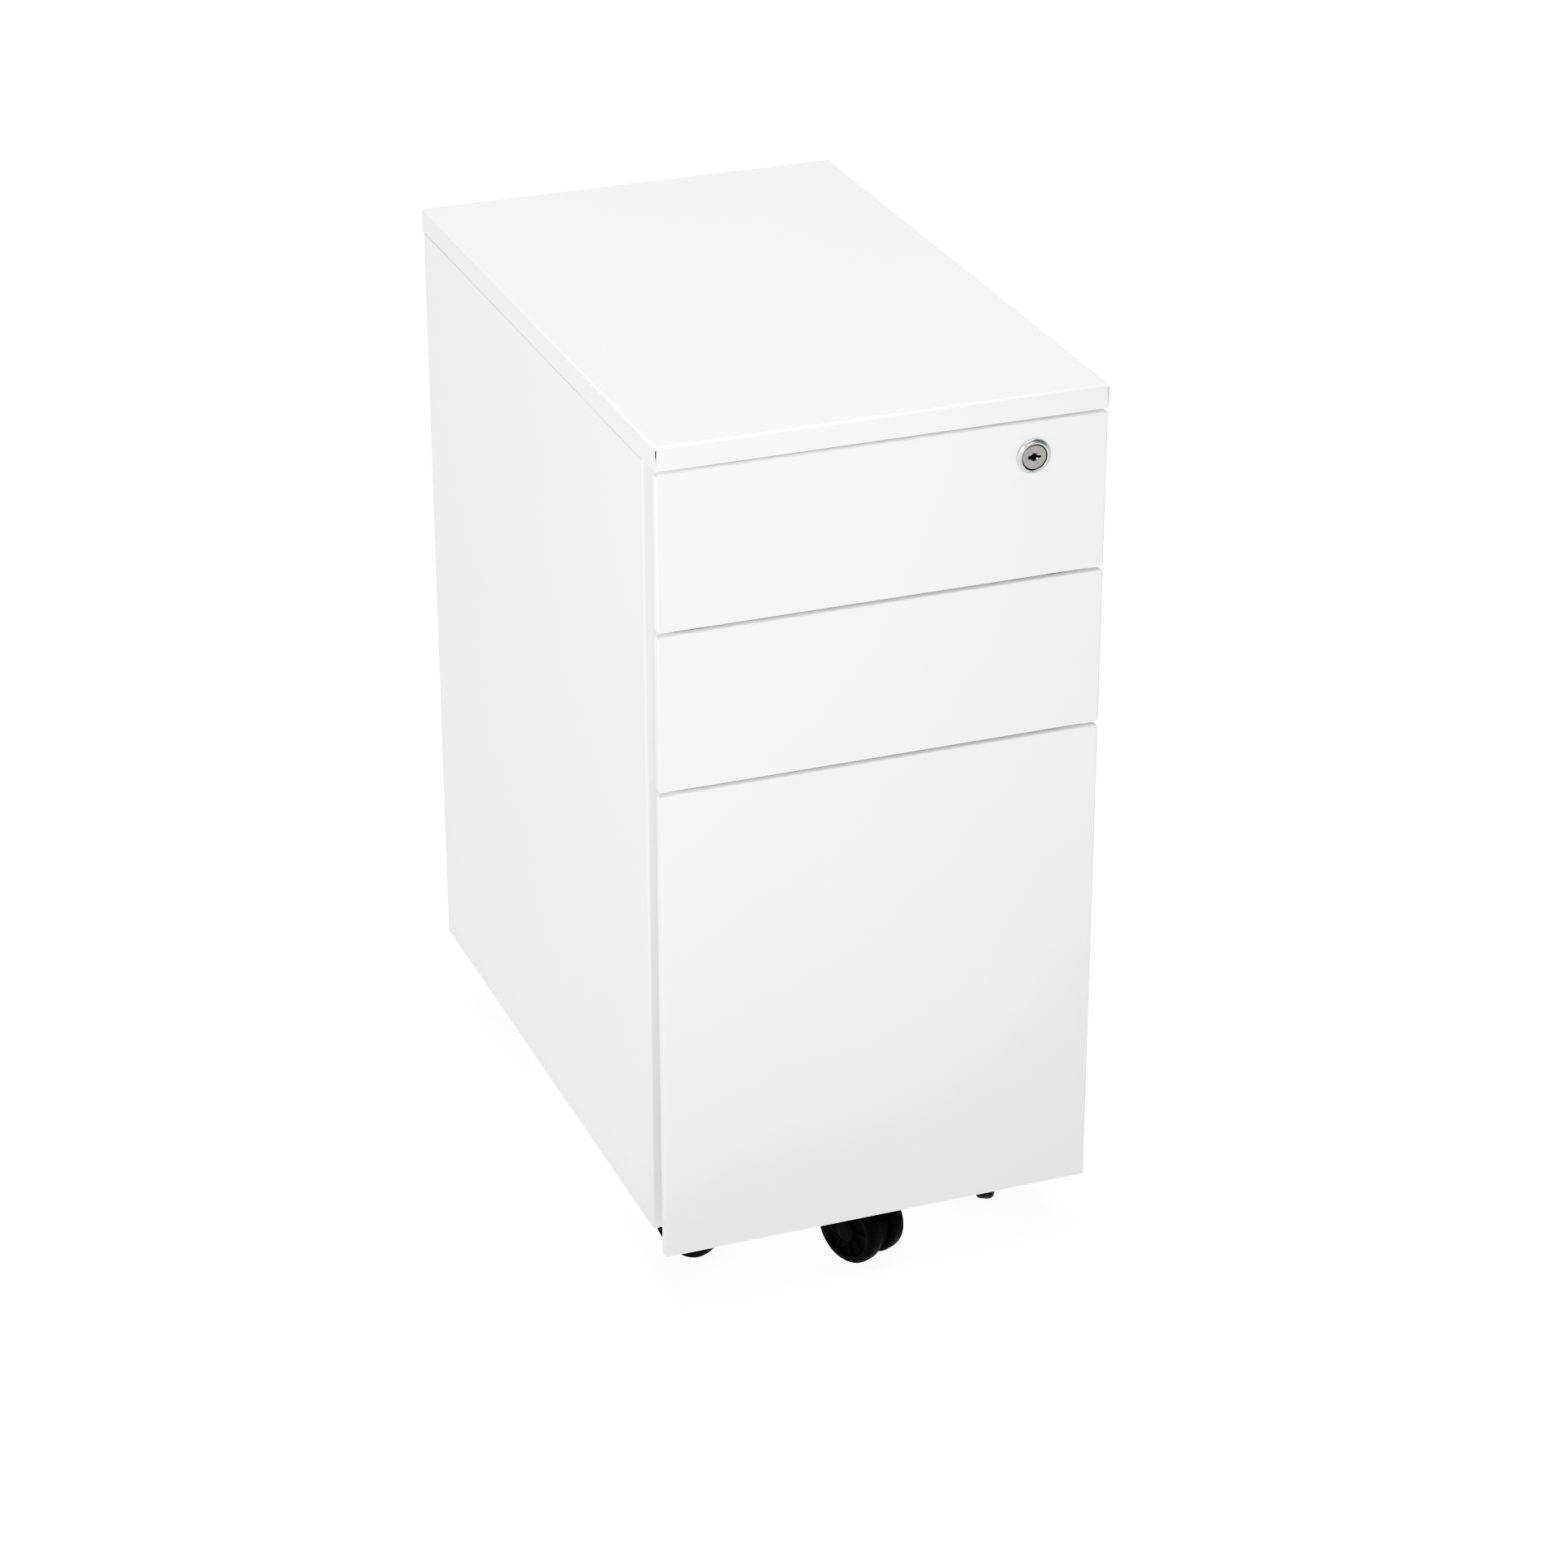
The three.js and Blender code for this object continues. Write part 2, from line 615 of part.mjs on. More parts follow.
function lockCam() {
  const full = 2 * Math.PI;
  const lean = Math.acos((CAM_HUB - CAM_TIP) / CAM_REACH);
  const tip = [CAM_REACH * Math.cos(CAM_REST_ANGLE), CAM_REACH * Math.sin(CAM_REST_ANGLE)];
  const outline = [
    ...arc([0, 0], CAM_HUB, CAM_REST_ANGLE + lean, CAM_REST_ANGLE + full - lean, 12),
    ...arc(tip, CAM_TIP, CAM_REST_ANGLE - lean, CAM_REST_ANGLE + lean, 6),
  ];
  const back = -CAM_FRONT - CAM_SHEET;
  return cut(
    prism('z', outline, back, -CAM_FRONT),
    rod('z', [0, 0], STUB_RADIUS + GAP, back - PAST, PAST - CAM_FRONT),
  );
}

// The bar that runs past all three drawers: a shelf over the cam, and a tab under each lug.
function lockBar() {
  const restTip = LOCK_Z + CAM_REACH * Math.sin(CAM_REST_ANGLE) + CAM_TIP;
  const shelf = restTip + SHELF_CLEARANCE;
  const top = shelf + SHELF_SHEET;
  const [from, to] = BAR_X;
  const middle = (from + to) / 2;
  const tabs = DRAWERS.map(({ lug }) => {
    const tabTop = lug - TAB_CLEARANCE;
    return box([TAB_START, middle], TAB_Y, [tabTop - TAB_HEIGHT, tabTop]);
  });
  const slots = STUD_HEIGHTS.map((z) => {
    const room = STUD_RADIUS + GAP;
    const length = [z - room - BAR_LIFT, z + room];
    return box([from - PAST, to + PAST], [STUD_Y - room, STUD_Y + room], length);
  });
  return cut(
    join(
      box([from, to], [BAR_FRONT, BAR_BACK], [BAR_BOTTOM, top]),
      box([SHELF_END, middle], [BAR_FRONT, BAR_FRONT + SHELF_DEPTH], [shelf, top]),
      ...tabs,
    ),
    ...slots,
  );
}

function addLock() {
  const onDoor = new THREE.Group();
  onDoor.position.set(LOCK_X, FRONT, LOCK_Z);
  onDoor.rotation.x = Math.PI / 2;
  cabinet.add(onDoor);
  add('lock_barrel', lockBarrel(), CHROME, onDoor);
  add('lock_plug', lockPlug(), SATIN_STEEL, onDoor);
  add('lock_cam', lockCam(), ZINC, onDoor);
  add('lock_bar', lockBar(), ZINC);
}

// ---- castors ------------------------------------------------------------------------------

// In a castor's own frame the kingpin is at the origin, the axle lies along X and the wheels
// trail towards -Y.

function castorPlate() {
  const bottom = PLATE_TOP - PLATE_SHEET;
  const square = [-PLATE_HALF, PLATE_HALF];
  const corner = PLATE_HALF - PLATE_HOLE_INSET;
  const holes = [-1, 1].flatMap((x) => [-1, 1].map((y) =>
    rod('z', [x * corner, y * corner], PLATE_HOLE, bottom - PAST, PLATE_TOP + PAST, HOLE_STEPS)));
  return join(
    cut(box(square, square, [bottom, PLATE_TOP]), ...holes),
    rod('z', [0, 0], KINGPIN_RADIUS, KINGPIN_END, PLATE_TOP - PLATE_SHEET / 2),
  );
}

// The hood over both wheels, with the web between them and the collar that turns on the kingpin.
function castorHousing() {
  const axle = [-TRAIL, WHEEL_RADIUS];
  const [from, to] = HOOD_ARC.map(degrees);
  const body = join(
    prism('x', arc(axle, HOOD_OUTSIDE, from, to, HOOD_STEPS), -HOOD_HALF, HOOD_HALF),
    rod('z', [0, 0], COLLAR_RADIUS, COLLAR_BOTTOM, COLLAR_TOP, ROUND_STEPS),
    rod('x', axle, WEB_RADIUS, -WEB_HALF, WEB_HALF, TREAD_STEPS),
  );
  return cut(
    body,
    rod('x', axle, HOOD_INSIDE, WEB_HALF, HOOD_HALF + PAST, TREAD_STEPS),
    rod('x', axle, HOOD_INSIDE, -HOOD_HALF - PAST, -WEB_HALF, TREAD_STEPS),
    rod('x', axle, AXLE_RADIUS + GAP, -WEB_HALF - PAST, WEB_HALF + PAST),
    rod('z', [0, 0], KINGPIN_RADIUS + GAP, KINGPIN_END - 2 * GAP, COLLAR_TOP + PAST),
  );
}

function castorWheel(side) {
  const [inner, outer] = WHEEL_FACES;
  const bore = AXLE_RADIUS + GAP;
  const tyre = WHEEL_RADIUS;
  const wheel = ring([
    [bore, inner], [tyre - 1.5, inner], [tyre, inner + 2], [tyre, outer - 3.5],
    [tyre - 1, outer - 1], [tyre - 3.5, outer], [tyre - 6, outer], [tyre - 7.5, outer - 2],
    [bore, outer - 2.4],
  ]);
  const geometry = geometryOf(wheel).rotateY((side * Math.PI) / 2);
  return solid(geometry.translate(0, -TRAIL, WHEEL_RADIUS));
}

function addCastor({ name, at, turn, raise = 0 }) {
  const mount = new THREE.Group();
  mount.position.set(...at, raise);
  const swivel = new THREE.Group();
  swivel.rotation.z = degrees(turn);
  mount.add(swivel);
  cabinet.add(mount);
  add(`castor_plate_${name}`, castorPlate(), ZINC, mount);
  add(`castor_housing_${name}`, castorHousing(), BLACK_NYLON, swivel);
  add(`castor_wheel_${name}_a`, castorWheel(1), BLACK_NYLON, swivel);
  add(`castor_wheel_${name}_b`, castorWheel(-1), BLACK_NYLON, swivel);
  const half = WHEEL_FACES[1] - 1;
  const axle = rod('x', [-TRAIL, WHEEL_RADIUS], AXLE_RADIUS, -half, half);
  add(`castor_axle_${name}`, axle, ZINC, swivel);
}

// The angle bracket that hangs the anti-tip castor under the file drawer.
function antiTipBracket() {
  const front = TRAY_FRONT - GAP - BRACKET_SHEET;
  const back = ANTI_TIP.at[1] + BRACKET_HALF;
  const level = BASE_LEVEL + ANTI_TIP.raise;
  const line = [[front, level + BRACKET_RISE], [front, level], [back, level]];
  const [from, to] = [-BRACKET_HALF, BRACKET_HALF].map((x) => ANTI_TIP.at[0] + x);
  return cut(
    prism('x', bentSheet(line, BRACKET_SHEET, BRACKET_BEND), from, to),
    rod('z', ANTI_TIP.at, BRACKET_HOLE, level - PAST, level + BRACKET_SHEET + PAST),
  );
}

// ---- assembly -----------------------------------------------------------------------------

add('top_cover', topCover(), POWDER_COAT);
const rightPanel = sidePanel();
add('side_panel_right', join(rightPanel, ...lockStuds()), POWDER_COAT);
add('side_panel_left', mirrored(rightPanel), POWDER_COAT);
add('back_panel', backPanel(), POWDER_COAT);
add('base_pan', basePan(), POWDER_COAT);
add('front_rail', frontRail(), POWDER_COAT);
addPair('rear_upright', rearUpright(), POWDER_COAT);
DRAWERS.forEach(addDrawer);
addFileRails();
addLock();
CASTORS.forEach(addCastor);
addCastor(ANTI_TIP);
add('anti_tip_bracket', antiTipBracket(), POWDER_COAT);

export default cabinet;
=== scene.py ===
"""A slim white pedestal cabinet on castors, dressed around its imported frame.

Shapes are drawn in millimetres, in the row frame, and become metres when a mesh is made of them.
"""
import json
import math

import bmesh
import bpy
from mathutils import Matrix, Vector


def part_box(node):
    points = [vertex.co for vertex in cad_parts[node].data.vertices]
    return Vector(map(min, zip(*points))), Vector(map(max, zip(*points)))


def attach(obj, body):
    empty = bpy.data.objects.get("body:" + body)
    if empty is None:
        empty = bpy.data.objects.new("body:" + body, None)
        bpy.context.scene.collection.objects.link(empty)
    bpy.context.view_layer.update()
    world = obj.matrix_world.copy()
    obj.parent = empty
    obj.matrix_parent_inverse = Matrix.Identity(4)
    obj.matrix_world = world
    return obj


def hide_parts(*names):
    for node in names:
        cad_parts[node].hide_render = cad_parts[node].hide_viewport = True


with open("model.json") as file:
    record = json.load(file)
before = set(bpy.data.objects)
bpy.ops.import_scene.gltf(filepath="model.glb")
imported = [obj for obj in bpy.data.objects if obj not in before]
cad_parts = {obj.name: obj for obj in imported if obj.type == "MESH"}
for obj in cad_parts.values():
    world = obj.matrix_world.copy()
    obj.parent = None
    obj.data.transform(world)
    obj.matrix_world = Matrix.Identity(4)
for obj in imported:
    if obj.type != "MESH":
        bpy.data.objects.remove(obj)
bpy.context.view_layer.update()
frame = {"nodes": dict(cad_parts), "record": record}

MM = 0.001
NODES = frame["nodes"]
BEHAVIOUR = frame["record"]["behaviour"]
BODY_OF = {node: body for body, names in BEHAVIOUR["bodies"].items() for node in names}
JOINTS = {joint["name"]: joint for joint in BEHAVIOUR["joints"]}


# ---- materials ------------------------------------------------------------------------------

class Shader:
    """A node material around one Principled shader, with textures placed in the object's own metres."""

    def __init__(self, name, **values):
        self.material = bpy.data.materials.new(name)
        self.material.use_nodes = True
        self.tree = self.material.node_tree
        self.surface = self.tree.nodes["Principled BSDF"]
        for socket, value in values.items():
            self.surface.inputs[socket.replace("_", " ")].default_value = value
        self.place = self.add("ShaderNodeTexCoord").outputs["Object"]

    def add(self, kind, **settings):
        node = self.tree.nodes.new(kind)
        for key, value in settings.items():
            setattr(node, key, value)
        return node

    def link(self, output, target):
        self.tree.links.new(output, target)

    def stretched(self, scale):
        """The object's own place, scaled along each axis."""
        mapping = self.add("ShaderNodeMapping")
        mapping.inputs["Scale"].default_value = scale
        self.link(self.place, mapping.inputs["Vector"])
        return mapping.outputs["Vector"]

    def noise(self, scale, detail=2.0, roughness=0.5, stretch=None):
        texture = self.add("ShaderNodeTexNoise")
        texture.inputs["Scale"].default_value = scale
        texture.inputs["Detail"].default_value = detail
        texture.inputs["Roughness"].default_value = roughness
        self.link(self.stretched(stretch) if stretch else self.place, texture.inputs["Vector"])
        return texture.outputs["Fac"]

    def rings(self, scale):
        """Turning marks: fine rings about the object's own Z."""
        texture = self.add("ShaderNodeTexWave", wave_type="RINGS", rings_direction="Z")
        texture.inputs["Scale"].default_value = scale
        texture.inputs["Distortion"].default_value = 0.6
        texture.inputs["Detail"].default_value = 1.0
        self.link(self.place, texture.inputs["Vector"])
        return texture.outputs["Fac"]

    def height(self):
        """Height along the object's own Z, in metres."""
        axes = self.add("ShaderNodeSeparateXYZ")
        self.link(self.place, axes.inputs["Vector"])
        return axes.outputs["Z"]

    def spread(self, factor, low, high, start=0.3, stop=0.7):
        """A number or a colour that runs from low to high as the factor runs from start to stop."""
        if isinstance(low, float):
            ramp = self.add("ShaderNodeMapRange")
            ramp.inputs["From Min"].default_value = start
            ramp.inputs["From Max"].default_value = stop
            ramp.inputs["To Min"].default_value = low
            ramp.inputs["To Max"].default_value = high
            self.link(factor, ramp.inputs["Value"])
            return ramp.outputs["Result"]
        return self.mixed(self.spread(factor, 0.0, 1.0, start, stop), low, high)

    def mixed(self, factor, low, high):
        """A mix of two colours, each of them a triple or another node's output."""
        mix = self.add("ShaderNodeMix", data_type="RGBA")
        self.link(factor, mix.inputs["Factor"])
        for value, name in ((low, "A"), (high, "B")):
            socket = next(entry for entry in mix.inputs if entry.name == name and entry.type == "RGBA")
            if isinstance(value, tuple):
                socket.default_value = (*value, 1.0)
            else:
                self.link(value, socket)
        return next(output for output in mix.outputs if output.type == "RGBA")

    def colour(self, output):
        self.link(output, self.surface.inputs["Base Color"])

    def rough(self, output):
        self.link(output, self.surface.inputs["Roughness"])

    def bumps(self, *layers):
        """Bump layers, each (height output, strength, depth in metres), one on top of the other."""
        normal = None
        for height, strength, depth in layers:
            bump = self.add("ShaderNodeBump")
            bump.inputs["Strength"].default_value = strength
            bump.inputs["Distance"].default_value = depth
            self.link(height, bump.inputs["Height"])
            if normal:
                self.link(normal, bump.inputs["Normal"])
            normal = bump.outputs["Normal"]
        self.link(normal, self.surface.inputs["Normal"])


def grey(value):
    return (value, value, value)


def powder_coat():
    """White polyester powder coat: low in gloss, with fine orange peel over slightly wavy sheet."""
    shader = Shader("white_powder_coat", IOR=1.5, Specular_IOR_Level=0.22)
    shader.colour(shader.spread(shader.noise(7.0, 4.0), (0.838, 0.838, 0.836), (0.858, 0.858, 0.857)))
    shader.rough(shader.spread(shader.noise(60.0, 3.0), 0.4, 0.48))
    shader.bumps(
        (shader.noise(4.0, 1.0), 0.2, 0.8 * MM),
        (shader.noise(850.0, 2.0, 0.45), 0.3, 0.03 * MM),
    )
    return shader.material


def zinc_steel():
    """Bright zinc plating over pressed strip: faint crystals and drawing marks along the length."""
    shader = Shader("zinc_steel", Metallic=1.0)
    shader.colour(shader.spread(shader.noise(260.0, 3.0), (0.54, 0.56, 0.58), (0.68, 0.7, 0.72)))
    shader.rough(shader.spread(shader.noise(90.0, 4.0), 0.26, 0.42))
    shader.bumps((shader.noise(900.0, 3.0, 0.6, stretch=(1.0, 0.06, 1.0)), 0.25, 0.02 * MM))
    return shader.material


def black_nylon(name, tone):
    """Moulded black nylon: satin, with the fine spark-eroded grain of the tool."""
    shader = Shader(name, Specular_IOR_Level=0.12)
    shader.colour(shader.spread(shader.noise(120.0, 4.0), grey(tone), grey(tone * 1.5)))
    shader.rough(shader.spread(shader.noise(200.0, 4.0), 0.42, 0.6))
    shader.bumps((shader.noise(1500.0, 2.0), 0.25, 0.03 * MM))
    return shader.material


def chrome():
    """Chrome plating worn to a soft shine."""
    shader = Shader("lock_chrome", Metallic=1.0)
    shader.colour(shader.spread(shader.noise(400.0, 3.0), (0.5, 0.503, 0.505), (0.56, 0.563, 0.565)))
    shader.rough(shader.spread(shader.noise(300.0, 4.0), 0.38, 0.46))
    shader.bumps((shader.noise(500.0, 2.0), 0.1, 0.02 * MM))
    return shader.material


def satin_nickel():
    """The plug's turned face. Below the face its keyway is coloured near-black, as painted shade in the deep
    slot.
    """
    shader = Shader("lock_satin_nickel", Metallic=1.0)
    metal = shader.spread(shader.noise(700.0, 3.0), (0.27, 0.269, 0.264), (0.34, 0.338, 0.332))
    # Painted shade: from about 0.7 mm below the face downwards, the keyway's walls fade to near-black.
    depth = shader.spread(shader.height(), 0.0, 1.0, 0.3 * MM, 1.6 * MM)
    shader.colour(shader.mixed(depth, (0.006, 0.006, 0.006), metal))
    shader.rough(shader.spread(shader.noise(900.0, 3.0), 0.28, 0.4))
    shader.bumps((shader.rings(1400.0), 0.15, 0.01 * MM), (shader.noise(2500.0, 2.0), 0.2, 0.01 * MM))
    return shader.material


FINISHES = {
    "white_powder_coat": powder_coat(),
    "zinc_steel": zinc_steel(),
    "castor_housing": black_nylon("castor_housing_nylon", 0.004),
    "castor_wheel": black_nylon("castor_wheel_nylon", 0.003),
    "lock_chrome": chrome(),
    "lock_plug": satin_nickel(),
}


# ---- shapes ---------------------------------------------------------------------------------

class Shape:
    """Closed shells in millimetres."""

    def __init__(self, points=(), faces=()):
        self.points = [Vector(point) for point in points]
        self.faces = [tuple(face) for face in faces]

    def __add__(self, other):
        start = len(self.points)
        moved = [tuple(i + start for i in face) for face in other.faces]
        return Shape(self.points + other.points, self.faces + moved)

    def at(self, *places):
        """Copies of the shape, one for each matrix."""
        return together(Shape([place @ point for point in self.points], self.faces) for place in places)


def together(shapes):
    return sum(shapes, Shape())


# A shape drawn along Z points along X with its own X along Y, or points along -Y.
ALONG_X = Matrix(((0, 0, 1, 0), (1, 0, 0, 0), (0, 1, 0, 0), (0, 0, 0, 1)))
ALONG_Y = Matrix.Rotation(math.pi / 2, 4, "X")


def facing(point, direction):
    """Where a shape goes that stands on a point and whose Z points in a direction."""
    return Matrix.Translation(point) @ Vector(direction).to_track_quat("Z", "Y").to_matrix().to_4x4()


def polar(radius, angle):
    """A point on a circle, with its angle in radians."""
    return radius * math.cos(angle), radius * math.sin(angle)


def arc(centre, radius, start, stop, steps):
    """Points of an arc in a plane, with its angles in degrees."""
    turns = (math.radians(start + (stop - start) * i / steps) for i in range(steps + 1))
    return [(centre[0] + u, centre[1] + v) for u, v in (polar(radius, turn) for turn in turns)]


def lathe(profile, steps=48, ring=False):
    """Turns (radius, height) points about Z, from axis to axis or, for a ring, back to the first."""
    points, rows = [], []
    for radius, height in profile:
        first = len(points)
        if radius == 0:
            rows.append([first] * steps)
            points.append((0, 0, height))
        else:
            rows.append([first + i for i in range(steps)])
            points += [(*polar(radius, math.tau * i / steps), height) for i in range(steps)]
    faces = []
    for low, high in zip(rows, rows[1:] + rows[:1] if ring else rows[1:]):
        for i in range(steps):
            j = (i + 1) % steps
            # The dict's keys drop the doubled corner of a face that meets the axis.
            faces.append(dict.fromkeys((low[i], low[j], high[j], high[i])))
    return Shape(points, faces)


def prism(outline, low, high):
    """A straight prism along Z between two levels."""
    count = len(outline)
    points = [(*point, level) for level in (low, high) for point in outline]
    sides = [(i, (i + 1) % count, (i + 1) % count + count, i + count) for i in range(count)]
    return Shape(points, [*sides, range(count), range(count, 2 * count)])


def rounded(width, height, radius, steps=5):
    """Outline of a rectangle with round corners."""
    x, y = width / 2 - radius, height / 2 - radius
    corners = ((x, y, 0), (-x, y, 90), (-x, -y, 180), (x, -y, 270))
    return [point for u, v, turn in corners for point in arc((u, v), radius, turn, turn + 90, steps)]


def ribbon(line, thickness):
    """Outline of a thin strip bent along a line of points."""
    sides = [[], []]
    for i, point in enumerate(line):
        point = Vector(point)
        before = (point - Vector(line[i - 1])).normalized() if i else None
        after = (Vector(line[i + 1]) - point).normalized() if i + 1 < len(line) else before
        before = before or after
        lean = (before + after).normalized()
        reach = thickness / 2 / lean.dot(before)
        across = Vector((-lean.y, lean.x)) * reach
        sides[0].append(tuple(point + across))
        sides[1].append(tuple(point - across))
    return sides[0] + sides[1][::-1]


def carve(shape, tool, operation="DIFFERENCE"):
    """One shape cut out of another, or joined to it, by Blender's exact solver."""
    things = []
    for part in (shape, tool):
        mesh = bpy.data.meshes.new("carving")
        mesh.from_pydata(part.points, [], part.faces)
        outward(mesh)
        thing = bpy.data.objects.new("carving", mesh)
        bpy.context.scene.collection.objects.link(thing)
        things.append(thing)
    cut = things[0].modifiers.new("cut", "BOOLEAN")
    cut.object = things[1]
    cut.operation = operation
    cut.solver = "EXACT"
    graph = bpy.context.evaluated_depsgraph_get()
    result = bpy.data.meshes.new_from_object(things[0].evaluated_get(graph))
    carved = Shape([v.co.copy() for v in result.vertices], [tuple(p.vertices) for p in result.polygons])
    for thing in things:
        mesh = thing.data
        bpy.data.objects.remove(thing)
        bpy.data.meshes.remove(mesh)
    bpy.data.meshes.remove(result)
    return carved


def outward(mesh, crease=None):
    """Turns every face outwards and, given an angle in degrees, shades smooth between creases."""
    work = bmesh.new()
    work.from_mesh(mesh)
    bmesh.ops.recalc_face_normals(work, faces=work.faces)
    if crease is not None:
        for face in work.faces:
            face.smooth = True
        for edge in work.edges:
            edge.smooth = edge.calc_face_angle(math.pi) < math.radians(crease)
    work.to_mesh(mesh)
    work.free()


def mesh_of(name, shape, slot, crease=32.0):
    """A mesh in metres, with its finish. Edges sharper than the crease angle stay sharp."""
    mesh = bpy.data.meshes.new(name)
    mesh.from_pydata([point * MM for point in shape.points], [], shape.faces)
    outward(mesh, crease)
    mesh.materials.append(FINISHES[slot])
    return mesh


def soften(thing, edge):
    """Rounds the sharp edges of an object by a width in millimetres, and keeps its flats flat."""
    bevel = thing.modifiers.new("edge", "BEVEL")
    bevel.limit_method = "ANGLE"
    bevel.angle_limit = math.radians(40.0)
    bevel.width = edge * MM
    bevel.segments = 2
    bevel.miter_outer = "MITER_ARC"
    shade = thing.modifiers.new("shade", "WEIGHTED_NORMAL")
    shade.weight = 100


def piece(name, mesh, body, place=Matrix(), stands_for=(), edge=0.0):
    """Adds a piece that rides on a body. Its place is in metres."""
    thing = bpy.data.objects.new(name, mesh)
    thing.matrix_world = place
    bpy.context.scene.collection.objects.link(thing)
    if edge:
        soften(thing, edge)
    if stands_for:
        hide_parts(*stands_for)
    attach(thing, body)
    return thing


def metres(place):
    """A placing matrix in millimetres, turned into metres."""
    scaled = place.copy()
    scaled.translation = place.translation * MM
    return scaled


def span(node):
    """The box of a CAD node in millimetres: (x from, to), (y from, to), (z from, to)."""
    low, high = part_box(node)
    return [(a / MM, b / MM) for a, b in zip(low, high)]


# ---- the CAD's own nodes --------------------------------------------------------------------

REPLACED = ("castor_housing", "castor_wheel", "castor_plate", "lock_barrel", "lock_plug")
SHEET = 1.0
CUT_EDGE = 0.2
WELD_GAP = 0.002


def dress(node, slot):
    """Gives a CAD node its finish, and softens its cut edges without touching its mesh."""
    sheet = NODES[node]
    sheet.data.materials.clear()
    sheet.data.materials.append(FINISHES[slot])
    sheet.data.polygons.foreach_set("use_smooth", [True] * len(sheet.data.polygons))
    weld = sheet.modifiers.new("weld", "WELD")
    weld.merge_threshold = WELD_GAP * MM
    soften(sheet, CUT_EDGE)


for row in frame["record"]["subparts"]:
    if not row["node"].startswith(REPLACED):
        dress(row["node"], row["material_slot"])


# ---- fasteners ------------------------------------------------------------------------------

def pan_head():
    """A pan-head screw with a cross recess, standing on the origin."""
    head = lathe([
        (0, -0.4), (2, -0.4), (2, 0), (3.3, 0), (3.5, 0.2), (3.55, 0.9), (3.35, 1.5), (2.8, 1.95),
        (1.9, 2.25), (0.9, 2.38), (0, 2.4),
    ], 32)
    arm, width = 1.75, 0.45
    cross = [
        (arm, width), (width, width), (width, arm), (-width, arm), (-width, width), (-arm, width),
        (-arm, -width), (-width, -width), (-width, -arm), (width, -arm), (width, -width), (arm, -width),
    ]
    return carve(head, prism(cross, 0.9, 4))


def pop_rivet():
    """The domed head of a blind rivet, with the broken mandrel in its middle."""
    return lathe([
        (0, -0.4), (1.6, -0.4), (1.6, 0), (3.1, 0), (3.2, 0.12), (2.9, 0.45), (2.2, 0.7), (1.3, 0.8),
        (1.1, 0.7), (1.05, 0.35), (0.95, 0.3), (0.9, 0.5), (0.6, 0.55), (0, 0.58),
    ], 32)


SCREW = pan_head()
RIVET = pop_rivet()


def fasten(name, shape, body, spots):
    """One piece for a group of fasteners. Each spot is a point and the way that its head looks."""
    places = [facing(point, direction) for point, direction in spots]
    piece(name, mesh_of(name, shape.at(*places), "zinc_steel"), body)


# ---- castors --------------------------------------------------------------------------------

# A castor is drawn in its own frame: the kingpin stands on the origin, the axle lies along X and
# the wheels trail towards -Y. Its dimensions are those of the CAD's castor.
WHEEL = 25.0
TRAIL = 16.0
WEB = 4.2
WEB_RADIUS = 21.0
HOOD = 28.5
HOOD_ARC = (-12.0, 150.0)
COLLAR_TOP = 57.1
PIN_HOLE = 3.3
PLATE = (57.4, 59.7)
PLATE_SIDE = 38
PLATE_CORNER = 4
PLATE_HOLE = 14
AXLE = Matrix.Translation((0, -TRAIL, WHEEL))
WHEEL_PLACES = (AXLE @ ALONG_X, AXLE @ ALONG_X @ Matrix.Rotation(math.pi, 4, "Y"))


def castor_wheel():
    """A moulded wheel about Z, outer face up: crowned tread, ribbed dish and a cap on the axle."""
    steps, ribs = 72, 9
    dish = (14.1, 15.8)
    profile = [
        (0, 16.1), (3.3, 16.1), (3.3, 5.0), (22.6, 5.0), (23.7, 5.3), (24.5, 6.0), (24.9, 7.0),
        (25.0, 8.4), (25.0, 11.6), (24.92, 13.1), (24.65, 14.4), (24.1, 15.6), (23.3, 16.5), (22.3, 16.95),
        (21.4, 17.0), (19.9, 17.0), (19.4, 16.8), (19.1, 16.3), (18.8, None), (18.0, None), (9.0, None),
        (8.3, None), (8.0, 16.2), (7.6, 16.75), (6.9, 16.95), (3.0, 17.1), (0, 17.1),
    ]
    turned = lathe([(radius, dish[0] if height is None else height) for radius, height in profile], steps)
    per_rib = steps // ribs
    for point in turned.points:
        radius = math.hypot(point.x, point.y)
        if 8.1 < radius < 18.9 and abs(point.z - dish[0]) < 1e-4:
            step = round(math.atan2(point.y, point.x) / math.tau * steps) % per_rib
            point.z = dish[1] if step in (0, 1) else dish[0]
    return turned


